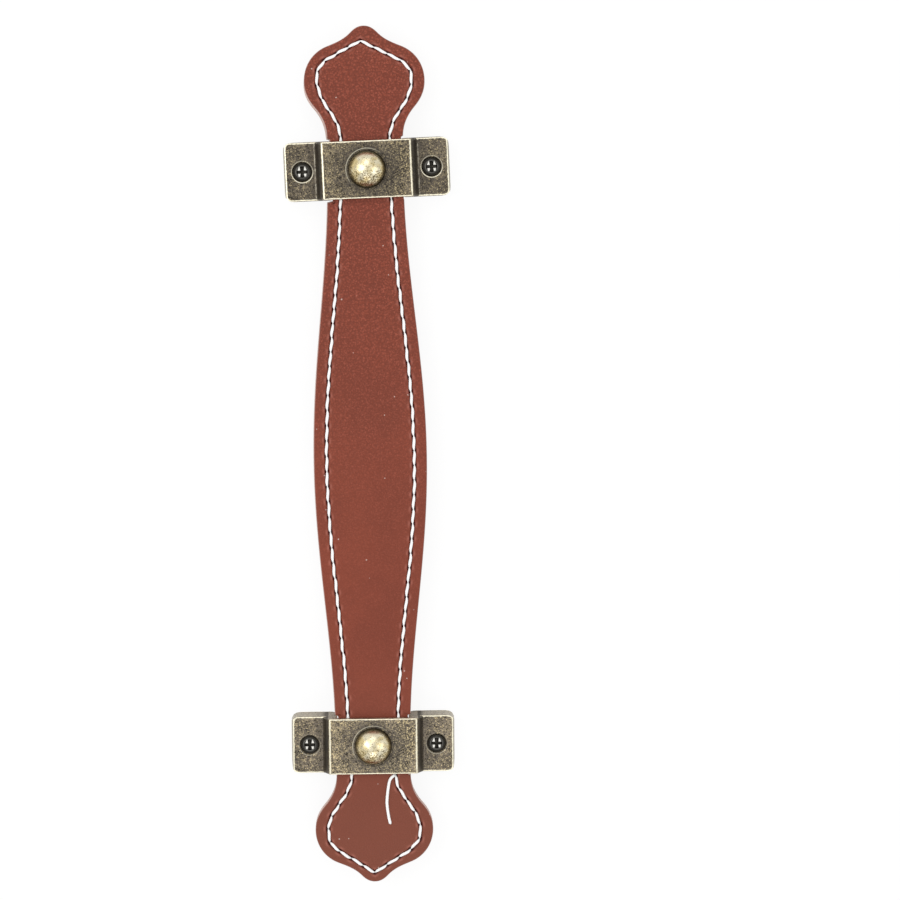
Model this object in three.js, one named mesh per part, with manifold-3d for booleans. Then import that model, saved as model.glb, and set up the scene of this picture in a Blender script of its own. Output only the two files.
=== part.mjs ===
// Leather cabinet pull: a sewn two-layer strap carried by two cast brackets.
//
// Millimetres. Z = 0 is the face of the door that the pull is screwed to, +Z points away
// from the door, and +Y runs along the strap. The origin is midway between the two
// mounting posts.

import * as THREE from 'three';
import { mergeVertices } from 'three/addons/utils/BufferGeometryUtils.js';
import Module from 'manifold-3d';

const wasm = await Module();
wasm.setup();

// Fixing
const postPitch = 160;             // between the two mounting posts
const postRadius = 2.5;            // outside of the hollow post
const boreRadius = 1.9;            // hole in the post for the mounting screw
const postProud = 0.8;             // post end beyond its back ring
const boreRoof = 4.2;              // metal left above the bore, to the top of the dome

// Strap
const tipOverhang = 38.9;          // post to the tip of a head
const bellyHalfWidth = 15.6;       // halfway between the posts
const neckHalfWidth = 10.35;       // beside the brackets
const lobeHalfWidth = 16.45;       // widest part of a head
const lobeDrop = 14.9;             // tip to the widest part
const noseHalfWidth = 3.6;         // where the round nose turns hollow
const noseDrop = 1.75;
const hollowHalfWidth = 10.2;      // where the hollow turns into the lobe
const hollowDrop = 5.55;
const shoulderHalfWidth = 13.6;    // where the lobe turns into the neck
const shoulderDrop = 7.1;          // below the widest part
const leatherThickness = 1.7;      // one layer
const glueLine = 0.05;             // between the two layers
const edgeRound = 0.3;             // broken outer edge of each layer
const waistCornerRadius = 0.8;     // where the strap narrows inside a bracket

// Seam
const seamInset = 3.5;             // from the strap's edge
const seamTopInset = 4.1;          // below the top tip
const seamBottomInset = 3.1;       // above the bottom tip
const seamTopPinch = 0.2;          // drawn in further, where it passes a bracket
const seamBottomPinch = 0.85;
const seamCornerInset = 0.8;       // in from the widest part of the seam
const seamCornerRise = 4.1;        // above the widest part of the seam
const stitchPitch = 3.9;
const stitchLength = 2.2;          // the flat top of one stitch
const stitchSlant = 0.12;          // how far a stitch leans across the seam
const threadRoom = 0.1;            // round a thread, in its seam channel
const needleThread = { width: 0.9, height: 0.6, rise: 0.05, dip: 0.6 };
const bobbinThread = { width: 0.55, height: 0.45, rise: 0, dip: 0.5 };

// Brackets
const bracketLength = 45.8;        // at the rim
const bracketDepth = 16.3;         // along the strap, at the rim
const bracketHeight = 9.8;         // rim to the top of the centre plate
const plateLength = 24.4;          // raised centre plate
const plateThickness = 1.4;
const stepHeight = 3.5;            // centre plate above the side flanges
const stepRun = 1.8;               // how far the sloping step walls spread
const stepThickness = 1.2;
const skirtThickness = 1;
const skirtDraft = 0.3;            // lean of the long skirts over the full height
const endDraft = 0.5;              // lean of the end skirts up to the flange
const cornerRadius = 2.6;
const rimEase = 0.35;              // rounded edges of the casting
const bendRadius = 0.5;            // where a step wall meets its flange
const strapNotchHalfWidth = 10;    // opening in the skirts for the strap
const notchLead = 2.2;             // rounded mouth of that opening
const notchLeadHeight = 4.5;
const topBracketTurn = 1.9;        // degrees, as the pull was put together
const bottomBracketTurn = -0.2;
const topBracketShift = 0.4;       // off the strap's centre line
const bottomBracketShift = 0;

// Domed studs and their back rings
const domeRadius = 5.2;
const domeRise = 4.6;
const domeRecessRadius = 5.7;
const domeRecessDepth = 0.35;
const ringRadius = 3.8;
const ringThickness = 0.6;
const ringLip = 0.25;

// Flange screws
const screwInset = 5.15;           // from the bracket's end
const screwHeadRadius = 2.45;
const screwHeadRim = 0.15;
const screwHeadSink = 0.15;        // below the flange's face
const screwShankRadius = 1.5;
const screwLength = 3.7;
const screwPoint = 0.7;
const crossSpan = 2.9;
const crossSlot = 0.75;
const crossDepth = 0.8;

// Fits
const strapClearance = 0.45;       // centre plate above the leather, room for the stitches
const waistClearance = 0.3;        // strap's waist to the skirts
const postClearance = 0.1;
const seatGap = 0.05;              // between faces that rest on each other
const screwClearance = 0.15;

// Levels
const flangeTop = bracketHeight - stepHeight;
const plateUnderside = bracketHeight - plateThickness;
const strapFront = plateUnderside - strapClearance;
const strapBack = strapFront - 2 * leatherThickness - glueLine;
const strapMiddle = (strapFront + strapBack) / 2;
const ringTop = strapBack - seatGap;
const postEnd = ringTop - ringThickness - postProud;
const postOffset = postPitch / 2;
const neckEnd = postOffset + bracketDepth / 2 + waistClearance;
const tip = postOffset + tipOverhang;
const screwOffset = bracketLength / 2 - screwInset;

// Solids, and cuts between them
const roundSegments = 24;
const beyond = 1;                  // how far a cutter runs past what it cuts

function solid(geometry) {
  const bare = new THREE.BufferGeometry();
  bare.setAttribute('position', geometry.getAttribute('position'));
  if (geometry.index) bare.setIndex(geometry.index);
  const merged = mergeVertices(bare);
  const index = merged.index.array;
  const triangles = [];
  for (let i = 0; i < index.length; i += 3) {
    const [a, b, c] = [index[i], index[i + 1], index[i + 2]];
    if (a !== b && b !== c && c !== a) triangles.push(a, b, c);
  }
  return new wasm.Manifold(new wasm.Mesh({
    numProp: 3,
    vertProperties: merged.getAttribute('position').array,
    triVerts: new Uint32Array(triangles)
  }));
}

function cut(body, ...tools) {
  return tools.reduce((left, tool) => left.subtract(tool), body);
}

function geometryOf(body) {
  const mesh = body.getMesh();
  const geometry = new THREE.BufferGeometry();
  geometry.setAttribute('position', new THREE.BufferAttribute(mesh.vertProperties, 3));
  geometry.setIndex(new THREE.BufferAttribute(mesh.triVerts, 1));
  geometry.computeVertexNormals();
  return geometry;
}

// An outline in plan, from one height to another
function upright(shape, low, high, options = {}) {
  const depth = high - low;
  const geometry = new THREE.ExtrudeGeometry(shape, {
    depth, bevelEnabled: false, curveSegments: 4, ...options
  });
  return geometry.translate(0, 0, low);
}

// An outline drawn in X and Z, carried along Y to both sides of the middle
function across(shape, halfDepth, options = {}) {
  const geometry = new THREE.ExtrudeGeometry(shape, {
    depth: 2 * halfDepth, bevelEnabled: false, curveSegments: 3, ...options
  });
  return geometry.rotateX(Math.PI / 2).translate(0, halfDepth, 0);
}

// A profile of radius and height, turned about Z; its outer side is listed upward
function turned(profile) {
  const points = profile.map(([radius, height]) => new THREE.Vector2(radius, height));
  return new THREE.LatheGeometry(points, roundSegments).rotateX(Math.PI / 2);
}

function disc(radius, low, high) {
  return turned([[0, low], [radius, low], [radius, high], [0, high]]);
}

// A closed outline through corners of [x, y, radius]
function cornered(corners) {
  const shape = new THREE.Shape();
  corners.forEach(([x, y, radius = 0], i) => {
    const [lastX, lastY] = corners.at(i - 1);
    const [nextX, nextY] = corners[(i + 1) % corners.length];
    const before = new THREE.Vector2(lastX - x, lastY - y).setLength(radius);
    const after = new THREE.Vector2(nextX - x, nextY - y).setLength(radius);
    if (i === 0) shape.moveTo(x + before.x, y + before.y);
    else shape.lineTo(x + before.x, y + before.y);
    if (radius > 0) shape.quadraticCurveTo(x, y, x + after.x, y + after.y);
  });
  return shape;
}

// The strap's outline, given by half widths and by how far a point lies below the tip
function below(halfWidth, drop) {
  return new THREE.Vector2(halfWidth, tip - drop);
}

// A smooth run between two points, leaving and arriving in the given directions
function bend(from, leaving, to, arriving, steps) {
  const reach = from.distanceTo(to) * 0.37;
  const start = from.clone().addScaledVector(leaving.clone().normalize(), reach);
  const end = to.clone().addScaledVector(arriving.clone().normalize(), -reach);
  return new THREE.CubicBezierCurve(from, start, end, to).getPoints(steps).slice(1);
}

// One side of a head, from the neck up to the tip
function headEdge() {
  const up = new THREE.Vector2(0, 1);
  const spread = new THREE.Vector2(0.85, 1);
  const close = new THREE.Vector2(-2.5, 1);
  const round = new THREE.Vector2(-1, 1.02);
  const level = new THREE.Vector2(-1, 0);
  const neckPoint = new THREE.Vector2(neckHalfWidth, neckEnd);
  const shoulder = below(shoulderHalfWidth, lobeDrop + shoulderDrop);
  const widest = below(lobeHalfWidth, lobeDrop);
  const hollow = below(hollowHalfWidth, hollowDrop);
  const nose = below(noseHalfWidth, noseDrop);
  return [
    neckPoint,
    ...bend(neckPoint, up, shoulder, spread, 4),
    ...bend(shoulder, spread, widest, up, 4),
    ...bend(widest, up, hollow, close, 5),
    ...bend(hollow, close, nose, round, 4),
    ...bend(nose, round, below(0, 0), level, 4)
  ];
}

// One side of the seam in a head, from the neck up to its pointed top
function headSeam(apexInset, pinch) {
  const up = new THREE.Vector2(0, 1);
  const neckPoint = new THREE.Vector2(neckHalfWidth - seamInset - pinch, neckEnd);
  const seamLobe = lobeHalfWidth - seamInset;
  const widest = below(seamLobe, lobeDrop);
  const corner = below(seamLobe - seamCornerInset, lobeDrop - seamCornerRise);
  const apex = below(0, apexInset);
  return [
    neckPoint,
    ...bend(neckPoint, up, widest, up, 16),
    ...bend(widest, up, corner, apex.clone().sub(corner), 6),
    apex
  ];
}

// The strap swells between its necks as one wave of a cosine
function bellyEdge(inset, steps) {
  const points = [];
  for (let i = -steps; i <= steps; i++) {
    const y = postOffset * i / steps;
    const swell = (1 + Math.cos(Math.PI * i / steps)) / 2;
    const halfWidth = neckHalfWidth + (bellyHalfWidth - neckHalfWidth) * swell;
    points.push(new THREE.Vector2(halfWidth - inset, y));
  }
  return points;
}

// A closed loop: up the right side from the bottom neck, over the top, and back round
function loop(topSide, belly, bottomSide) {
  const mirrored = (p) => new THREE.Vector2(-p.x, p.y);
  const under = bottomSide.map((p) => new THREE.Vector2(p.x, -p.y));
  const right = [...belly, ...topSide];
  return [
    ...right,
    ...right.slice(0, -1).reverse().map(mirrored),
    ...under.slice(0, -1).map(mirrored),
    ...under.slice().reverse()
  ];
}

const strapOutline = loop(headEdge(), bellyEdge(0, 9), headEdge());
const seamLine = loop(
  headSeam(seamTopInset, seamTopPinch), bellyEdge(seamInset, 24),
  headSeam(seamBottomInset, seamBottomPinch)
);

// Stitch holes, evenly spaced. The first is on the right, beside the bottom bracket, and
// from there they run round the bottom head. The last stitch, hidden by that bracket, is
// left out.
const seamStart = seamLine.at(-1);
const seamPath = new THREE.Path([seamStart, ...seamLine].reverse());
const stitchCount = Math.round(seamPath.getLength() / stitchPitch);
const stitchHoles = seamPath.getSpacedPoints(stitchCount).slice(0, stitchCount);

// The channel that a thread lies in: the chain of holes, made wider to both sides.
// At each hole the side point lies on the line that halves the corner.
function seamChannel(halfWidth, low, high) {
  const offset = (side) => stitchHoles.map((hole, i) => {
    const arriving = hole.clone().sub(stitchHoles.at(i - 1)).normalize();
    const leaving = stitchHoles[(i + 1) % stitchCount].clone().sub(hole).normalize();
    const onward = arriving.clone().add(leaving).normalize();
    const reach = side * halfWidth / onward.dot(leaving);
    return new THREE.Vector2(hole.x + onward.y * reach, hole.y - onward.x * reach);
  });
  const ring = new THREE.Shape(offset(-1).reverse());
  ring.holes.push(new THREE.Path(offset(1)));
  return solid(upright(ring, low, high));
}

function channelHalfWidth(thread) {
  return thread.width / 2 + stitchSlant + threadRoom;
}

function channelDepth(thread) {
  return thread.dip + thread.height / 2 + threadRoom;
}

// The brackets are placed by groups, so a cutter for the strap is placed the same way
const places = [
  { end: 'top', y: postOffset, x: topBracketShift, turn: topBracketTurn },
  { end: 'bottom', y: -postOffset, x: bottomBracketShift, turn: bottomBracketTurn }
];

function placed(geometry, { x, y, turn }) {
  return geometry.rotateZ(THREE.MathUtils.degToRad(turn)).translate(x, y, 0);
}

// The leather: one blank of double thickness, pierced, waisted and split into its layers
function waistCutters(place) {
  const near = strapNotchHalfWidth - waistClearance;
  const far = bracketLength / 2;
  const half = bracketDepth / 2 + waistClearance;
  return [-1, 1].map((side) => {
    const shape = cornered([
      [side * near, -half, waistCornerRadius], [side * far, -half],
      [side * far, half], [side * near, half, waistCornerRadius]
    ]);
    return solid(placed(upright(shape, strapBack - beyond, strapFront + beyond), place));
  });
}

function leatherLayers() {
  const blank = solid(upright(
    new THREE.Shape(strapOutline), strapBack + edgeRound, strapFront - edgeRound,
    {
      bevelEnabled: true, bevelSegments: 1, bevelThickness: edgeRound,
      bevelSize: edgeRound, bevelOffset: -edgeRound
    }
  ));
  const holes = places.map((place) => solid(placed(
    disc(postRadius + postClearance, strapBack - beyond, strapFront + beyond), place)));
  const cutBlank = cut(blank, ...holes, ...places.flatMap(waistCutters));
  const half = (low, high) => solid(new THREE.BoxGeometry(
    4 * bellyHalfWidth, 4 * postPitch, high - low).translate(0, 0, (low + high) / 2));
  const frontChannel = seamChannel(channelHalfWidth(needleThread),
    strapFront - channelDepth(needleThread), strapFront + beyond);
  const backChannel = seamChannel(channelHalfWidth(bobbinThread),
    strapBack - beyond, strapBack + channelDepth(bobbinThread));
  const front = cutBlank.intersect(half(strapMiddle + glueLine / 2, strapFront + beyond));
  const back = cutBlank.intersect(half(strapBack - beyond, strapMiddle - glueLine / 2));
  return { front: cut(front, frontChannel), back: cut(back, backChannel) };
}

// A thread: a chain of points that the sweep steps along, one station to each point.
// The section is kept upright, so that a stitch lies flat however the seam turns.
class Chain extends THREE.Curve {
  constructor(points) {
    super();
    this.points = points;
  }

  getPoint(t) {
    const place = t * (this.points.length - 1);
    const i = Math.min(Math.floor(place), this.points.length - 2);
    return this.points[i].clone().lerp(this.points[i + 1], place - i);
  }

  getUtoTmapping(u) {
    return u;
  }

  computeFrenetFrames(segments) {
    const frames = { tangents: [], normals: [], binormals: [] };
    for (let i = 0; i <= segments; i++) {
      const along = this.getTangent(i / segments);
      frames.tangents.push(along);
      frames.normals.push(new THREE.Vector3(0, 0, 1));
      frames.binormals.push(new THREE.Vector3(along.y, -along.x, 0).normalize());
    }
    return frames;
  }
}

// Each stitch comes out of its hole, lies on the leather and goes down the next hole.
// face is the leather's face and out is the way it looks; the loose end is a run of
// points on the leather, counted from the first hole.
function threadGeometry(thread, face, out, looseEnd) {
  const low = face - out * thread.dip;
  const high = face + out * thread.rise;
  const lying = face + out * (thread.height / 2 + seatGap);
  const first = stitchHoles[0];
  const loose = new THREE.SplineCurve(looseEnd.map(([x, y]) => new THREE.Vector2(x, y)))
    .getPoints(3 * (looseEnd.length - 1))
    .map((p) => new THREE.Vector3(first.x + p.x, first.y + p.y, lying));
  const points = [...loose];
  stitchHoles.forEach((hole, i) => {
    points.push(new THREE.Vector3(hole.x, hole.y, low));
    if (i === stitchCount - 1) return;
    const next = stitchHoles[i + 1];
    const along = next.clone().sub(hole);
    const length = along.length();
    const sideways = new THREE.Vector2(-along.y, along.x).normalize();
    [-1, 1].forEach((side) => {
      const spot = hole.clone()
        .addScaledVector(along, 0.5 + side * stitchLength / 2 / length)
        .addScaledVector(sideways, side * stitchSlant);
      points.push(new THREE.Vector3(spot.x, spot.y, high));
    });
  });
  const [h, w] = [thread.height / 2, thread.width / 2];
  const section = new THREE.Shape([
    new THREE.Vector2(-h, -w), new THREE.Vector2(h, -w),
    new THREE.Vector2(h, w), new THREE.Vector2(-h, w)
  ]);
  return new THREE.ExtrudeGeometry(section, {
    extrudePath: new Chain(points), steps: points.length - 1
  });
}

// Loose ends: the needle thread hangs down the face, the bobbin thread loops at the back
const needleLooseEnd = [
  [-1.3, -14.3], [-1.9, -11.7], [-2.25, -8], [-2, -4.6], [-1.5, -1.9], [-1, -0.75], [-0.35, -0.1]
];
const bobbinLooseEnd = [[-0.9, 9], [-1.3, 6.4], [-1.9, 3.6], [-1.7, 1.5], [-1, 0.6], [-0.25, 0.15]];

// The bracket: a hat-section casting, open underneath, with skirts all round
function lean(geometry) {
  const rate = skirtDraft / bracketHeight / (bracketDepth / 2);
  const position = geometry.getAttribute('position');
  for (let i = 0; i < position.count; i++) {
    position.setY(i, position.getY(i) * (1 - rate * position.getZ(i)));
  }
  return geometry;
}

function hatProfile({ half, foot, ledge, plate, top, ease, bendEase }) {
  const right = [
    [half, -beyond], [half, 0], [foot, ledge, ease],
    [plate + stepRun, ledge, bendEase], [plate, top, ease]
  ];
  const left = right.slice().reverse().map(([x, z, radius]) => [-x, z, radius]);
  return cornered([...right, ...left]);
}

function strapNotch() {
  const near = strapNotchHalfWidth;
  const mouth = near + notchLead;
  const shape = new THREE.Shape();
  shape.moveTo(-mouth, -beyond);
  shape.lineTo(mouth, -beyond);
  shape.lineTo(mouth, 0);
  shape.quadraticCurveTo(near, 0, near, notchLeadHeight);
  shape.lineTo(near, plateUnderside);
  shape.lineTo(-near, plateUnderside);
  shape.lineTo(-near, notchLeadHeight);
  shape.quadraticCurveTo(-near, 0, -mouth, 0);
  return solid(across(shape, bracketDepth, { curveSegments: 5 }));
}

function bracketGeometry() {
  const halfLength = bracketLength / 2;
  const halfDepth = bracketDepth / 2;
  const outerProfile = hatProfile({
    half: halfLength, foot: halfLength - endDraft, ledge: flangeTop,
    plate: plateLength / 2, top: bracketHeight, ease: rimEase, bendEase: bendRadius
  });
  const eased = across(outerProfile, halfDepth - rimEase, {
    bevelEnabled: true, bevelSegments: 2, bevelThickness: rimEase,
    bevelSize: rimEase, bevelOffset: -rimEase, curveSegments: 2
  });
  const footprint = cornered([
    [halfLength, -halfDepth, cornerRadius], [halfLength, halfDepth, cornerRadius],
    [-halfLength, halfDepth, cornerRadius], [-halfLength, -halfDepth, cornerRadius]
  ]);
  const outer = solid(lean(eased))
    .intersect(solid(lean(upright(footprint, 0, bracketHeight + beyond))));

  // The step wall keeps its own thickness, measured square to its slope
  const slope = Math.hypot(stepHeight, stepRun) / stepHeight;
  const stepShift = stepThickness * slope - plateThickness * stepRun / stepHeight;
  const innerProfile = hatProfile({
    half: halfLength - skirtThickness,
    foot: halfLength - skirtThickness - endDraft,
    ledge: flangeTop - plateThickness,
    plate: plateLength / 2 - stepShift,
    top: plateUnderside, ease: 0, bendEase: bendRadius
  });
  const cavity = solid(lean(across(innerProfile, halfDepth - skirtThickness)));

  const postHole = solid(disc(postRadius + postClearance,
    plateUnderside - beyond, bracketHeight + beyond));
  const recess = solid(disc(domeRecessRadius,
    bracketHeight - domeRecessDepth, bracketHeight + beyond));
  const screwHoles = [-1, 1].map((side) => {
    const shank = screwShankRadius + screwClearance;
    const mouth = screwHeadRadius + screwHeadSink + screwHeadRim + screwClearance;
    return solid(turned([
      [0, flangeTop - plateThickness - beyond], [shank, flangeTop - plateThickness - beyond],
      [shank, flangeTop - mouth + shank], [mouth, flangeTop],
      [mouth, flangeTop + beyond], [0, flangeTop + beyond]
    ]).translate(side * screwOffset, 0, 0));
  });
  return geometryOf(cut(outer, cavity, strapNotch(), postHole, recess, ...screwHoles));
}

// The stud: a dome over the plate, and a hollow post through plate, strap and back ring
function domeStudGeometry() {
  const base = bracketHeight - domeRecessDepth + seatGap;
  const ball = (domeRadius ** 2 + domeRise ** 2) / (2 * domeRise);
  const widest = Math.asin(domeRadius / ball);
  const dome = [];
  const steps = 6;
  for (let i = 0; i <= steps; i++) {
    const angle = widest * (1 - i / steps);
    dome.push([ball * Math.sin(angle), base + domeRise - ball + ball * Math.cos(angle)]);
  }
  dome[steps][0] = 0;
  const roof = base + domeRise - boreRoof;
  return turned([
    [0, roof], [boreRadius, roof - boreRadius / 3], [boreRadius, postEnd + rimEase],
    [boreRadius + rimEase / 2, postEnd], [postRadius, postEnd], [postRadius, base], ...dome
  ]);
}

function backRingGeometry() {
  const inner = postRadius + postClearance;
  const low = ringTop - ringThickness;
  return turned([
    [inner, ringTop], [inner, low], [ringRadius - ringLip, low],
    [ringRadius, low + ringLip], [ringRadius, ringTop], [inner, ringTop]
  ]);
}

// A short countersunk screw with a cross recess
function screwGeometry() {
  const top = flangeTop - screwHeadSink;
  const seat = top - screwHeadRim;
  const neck = seat - (screwHeadRadius - screwShankRadius);
  const tip = top - screwLength;
  const body = solid(turned([
    [0, tip], [screwShankRadius * 0.55, tip], [screwShankRadius, tip + screwPoint],
    [screwShankRadius, neck], [screwHeadRadius, seat], [screwHeadRadius, top], [0, top]
  ]));
  const [a, b] = [crossSlot / 2, crossSpan / 2];
  const cross = cornered([
    [a, a], [a, b], [-a, b], [-a, a], [-b, a], [-b, -a],
    [-a, -a], [-a, -b], [a, -b], [a, -a], [b, -a], [b, a]
  ]);
  return geometryOf(cut(body, solid(upright(cross, top - crossDepth, top + beyond))));
}

// Finishes
const leather = new THREE.MeshStandardMaterial({ color: 0x8b4a37, roughness: 0.62, metalness: 0 });
const whiteThread = new THREE.MeshStandardMaterial({ color: 0xf2efe8, roughness: 0.8, metalness: 0 });
const tanThread = new THREE.MeshStandardMaterial({ color: 0xc98445, roughness: 0.8, metalness: 0 });
const antiqueBrass = new THREE.MeshStandardMaterial({ color: 0x756a4c, roughness: 0.42, metalness: 1 });
const polishedBrass = new THREE.MeshStandardMaterial({ color: 0xb9a56c, roughness: 0.32, metalness: 1 });
const blackenedSteel = new THREE.MeshStandardMaterial({ color: 0x34322c, roughness: 0.4, metalness: 1 });

function piece(name, geometry, material) {
  const mesh = new THREE.Mesh(geometry, material);
  mesh.name = name;
  return mesh;
}

// The assembled pull
const pull = new THREE.Group();
const layers = leatherLayers();
pull.add(
  piece('front_leather', geometryOf(layers.front), leather),
  piece('back_leather', geometryOf(layers.back), leather),
  piece('needle_thread',
    threadGeometry(needleThread, strapFront, 1, needleLooseEnd), whiteThread),
  piece('bobbin_thread',
    threadGeometry(bobbinThread, strapBack, -1, bobbinLooseEnd), tanThread)
);

const bracket = bracketGeometry();
const domeStud = domeStudGeometry();
const backRing = backRingGeometry();
const screw = screwGeometry();
places.forEach(({ end, x, y, turn }) => {
  const group = new THREE.Group();
  group.position.set(x, y, 0);
  group.rotation.z = THREE.MathUtils.degToRad(turn);
  group.add(
    piece(`${end}_bracket`, bracket, antiqueBrass),
    piece(`${end}_dome_stud`, domeStud, polishedBrass),
    piece(`${end}_back_ring`, backRing, antiqueBrass)
  );
  [['left', -1], ['right', 1]].forEach(([sideName, side]) => {
    const flangeScrew = piece(`${end}_${sideName}_screw`, screw, blackenedSteel);
    flangeScrew.position.x = side * screwOffset;
    group.add(flangeScrew);
  });
  pull.add(group);
});

export default pull;
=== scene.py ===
# %% [markdown]
# # A leather cabinet pull
#
# The real object is a sewn leather strap that two cast brackets hold off a door. The
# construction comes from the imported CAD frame, which this script loads and never
# changes. What is made here is the look: soft leather with its seam, twisted thread,
# worn antique brass, and the light of a small product studio.
#
# Every length below is in millimetres, as on the bench. Blender works in metres, so a
# mesh is scaled by MM at the moment it is made.

import math
from functools import partialmethod

import bmesh
import bpy
import numpy as np
from mathutils import Matrix, Vector


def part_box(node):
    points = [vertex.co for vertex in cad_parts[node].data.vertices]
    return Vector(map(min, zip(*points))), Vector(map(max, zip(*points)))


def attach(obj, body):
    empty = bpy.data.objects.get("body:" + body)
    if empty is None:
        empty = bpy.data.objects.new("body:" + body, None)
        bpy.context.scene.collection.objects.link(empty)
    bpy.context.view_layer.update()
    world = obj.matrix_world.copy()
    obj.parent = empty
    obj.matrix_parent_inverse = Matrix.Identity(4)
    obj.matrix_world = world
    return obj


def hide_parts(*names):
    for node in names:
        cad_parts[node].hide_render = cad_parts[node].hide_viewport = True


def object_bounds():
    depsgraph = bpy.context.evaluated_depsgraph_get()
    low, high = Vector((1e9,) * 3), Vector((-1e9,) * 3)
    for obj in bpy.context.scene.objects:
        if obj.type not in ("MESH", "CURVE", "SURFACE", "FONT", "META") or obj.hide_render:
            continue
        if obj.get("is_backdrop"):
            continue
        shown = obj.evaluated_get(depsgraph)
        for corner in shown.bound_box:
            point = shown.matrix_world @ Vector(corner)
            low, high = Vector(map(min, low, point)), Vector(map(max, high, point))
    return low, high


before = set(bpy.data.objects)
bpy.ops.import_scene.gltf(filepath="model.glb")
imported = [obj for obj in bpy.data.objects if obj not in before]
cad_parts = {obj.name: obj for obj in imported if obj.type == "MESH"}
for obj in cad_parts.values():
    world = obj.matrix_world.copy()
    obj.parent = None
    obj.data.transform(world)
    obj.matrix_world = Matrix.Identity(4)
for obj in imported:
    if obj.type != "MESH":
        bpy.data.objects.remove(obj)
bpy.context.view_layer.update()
MM = 0.001


def node_box(name):
    """Lowest and highest corner of a CAD node, in millimetres."""
    low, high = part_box(name)
    return np.array(low) / MM, np.array(high) / MM


def put(name, data):
    """A new object in the scene, made of a mesh, a lamp or a camera."""
    made = bpy.data.objects.new(name, data)
    bpy.context.scene.collection.objects.link(made)
    return made


# %% [markdown]
# ## The camera
#
# In the photograph the lower bracket is drawn smaller and flatter than the upper one and
# shows a wall above it, while the upper bracket shows no wall at all. So the camera stood
# over the upper bracket, three quarters of a metre up, and was tilted to look at the middle
# of the picture. A shifted lens would frame the pull as well, but would draw both ends
# alike. Points measured at both ends gave the camera's place and its lens.

# %% Place the camera
STRAP_FACE = node_box("front_leather")[1][2]
EYE = Vector((-0.2, 79.5, STRAP_FACE + 765))
AIM = Vector((22.3, 2.54, STRAP_FACE))  # what the middle of the picture shows
LEAN = math.radians(0.613)  # the strap's top leans to the left
LENS_MM = 111.3
SENSOR_MM = 36


def looking(eye, aim, way_up):
    """Rotation of a camera at eye that looks at aim, with way_up pointing up in its picture."""
    back = (eye - aim).normalized()
    right = way_up.cross(back).normalized()
    return Matrix((right, back.cross(right), back)).transposed().to_euler()


lens = bpy.data.cameras.new("studio_camera")
lens.sensor_width = SENSOR_MM
lens.lens = LENS_MM
camera = put("studio_camera", lens)
camera.location = EYE * MM
camera.rotation_euler = looking(EYE, AIM, Vector((math.sin(LEAN), math.cos(LEAN), 0)))
bpy.context.scene.camera = camera
turned = [round(math.degrees(angle), 2) for angle in camera.rotation_euler]
print("camera at", tuple(round(v, 1) for v in EYE), "turned", turned)

# %% [markdown]
# ## Building a finish node by node
#
# A material could be clicked together in the shader editor. In a script the same tree
# reads best as a list of steps, so a small class keeps the tree and adds one node at a
# time. Patterns read Object coordinates turned into millimetres, which stay put
# when the object is seen from any side.

# %% A helper for finishes
class Finish:
    """A Principled material whose node tree is written as a list of steps."""

    def __init__(self, name, **sockets):
        self.material = bpy.data.materials.new(name)
        self.material.use_nodes = True
        self.tree = self.material.node_tree
        self.shader = self.tree.nodes["Principled BSDF"]
        for socket, value in sockets.items():
            self.shader.inputs[socket.replace("_", " ")].default_value = value

    def feed(self, socket, value):
        if isinstance(value, bpy.types.NodeSocket):
            self.tree.links.new(value, socket)
        else:
            socket.default_value = value

    def node(self, kind, **inputs):
        made = self.tree.nodes.new("ShaderNode" + kind)
        for name, value in inputs.items():
            self.feed(made.inputs[name.replace("_", " ")], value)
        return made

    def place(self, centre=(0, 0, 0), turn=0.0):
        """Object coordinates in millimetres, from a centre and turned about Z."""
        mapping = self.node(
            "Mapping", Vector=self.node("TexCoord").outputs["Object"],
            Location=Vector(centre) * MM, Rotation=(0, 0, turn), Scale=(MM, MM, MM),
        )
        mapping.vector_type = "TEXTURE"
        return mapping.outputs[0]

    def math(self, operation, *values):
        made = self.node("Math")
        made.operation = operation
        for socket, value in zip(made.inputs, values):
            self.feed(socket, value)
        return made.outputs[0]

    plus = partialmethod(math, "ADD")
    minus = partialmethod(math, "SUBTRACT")
    times = partialmethod(math, "MULTIPLY")
    scaled = partialmethod(math, "MULTIPLY_ADD")
    larger = partialmethod(math, "MAXIMUM")
    smaller = partialmethod(math, "MINIMUM")

    def ease(self, value, start, end):
        """0 before start and 1 after end, with a smooth step between; either order."""
        flipped = start > end
        made = self.node("MapRange", Value=value, From_Min=min(start, end), From_Max=max(start, end),
                         To_Min=float(flipped), To_Max=float(not flipped))
        made.interpolation_type = "SMOOTHSTEP"
        return made.outputs[0]

    def mix(self, factor, first, second):
        made = self.node("Mix")
        made.data_type = "RGBA"
        for index, value in ((0, factor), (6, first), (7, second)):
            self.feed(made.inputs[index], value)
        return made.outputs[2]

    def noise(self, place, per_mm, detail=2.0, roughness=0.5):
        made = self.node("TexNoise", Vector=place, Scale=per_mm, Detail=detail, Roughness=roughness)
        return made.outputs["Fac"]

    def pebbles(self, place, per_mm, smoothness=0.6):
        made = self.node("TexVoronoi", Vector=place, Scale=per_mm)
        made.feature = "SMOOTH_F1"
        made.inputs["Smoothness"].default_value = smoothness
        return made.outputs["Distance"]

    def attribute(self, name):
        made = self.node("Attribute")
        made.attribute_name = name
        return made.outputs["Fac"]

    def bump(self, height, strength, distance_mm):
        """Turns a height of 0 to 1 into a bump of so many millimetres."""
        made = self.node("Bump", Height=height, Strength=strength, Distance=distance_mm * MM)
        self.feed(self.shader.inputs["Normal"], made.outputs[0])

    def finish(self, colour, roughness):
        self.feed(self.shader.inputs["Base Color"], colour)
        self.feed(self.shader.inputs["Roughness"], roughness)
        return self.material


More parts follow.
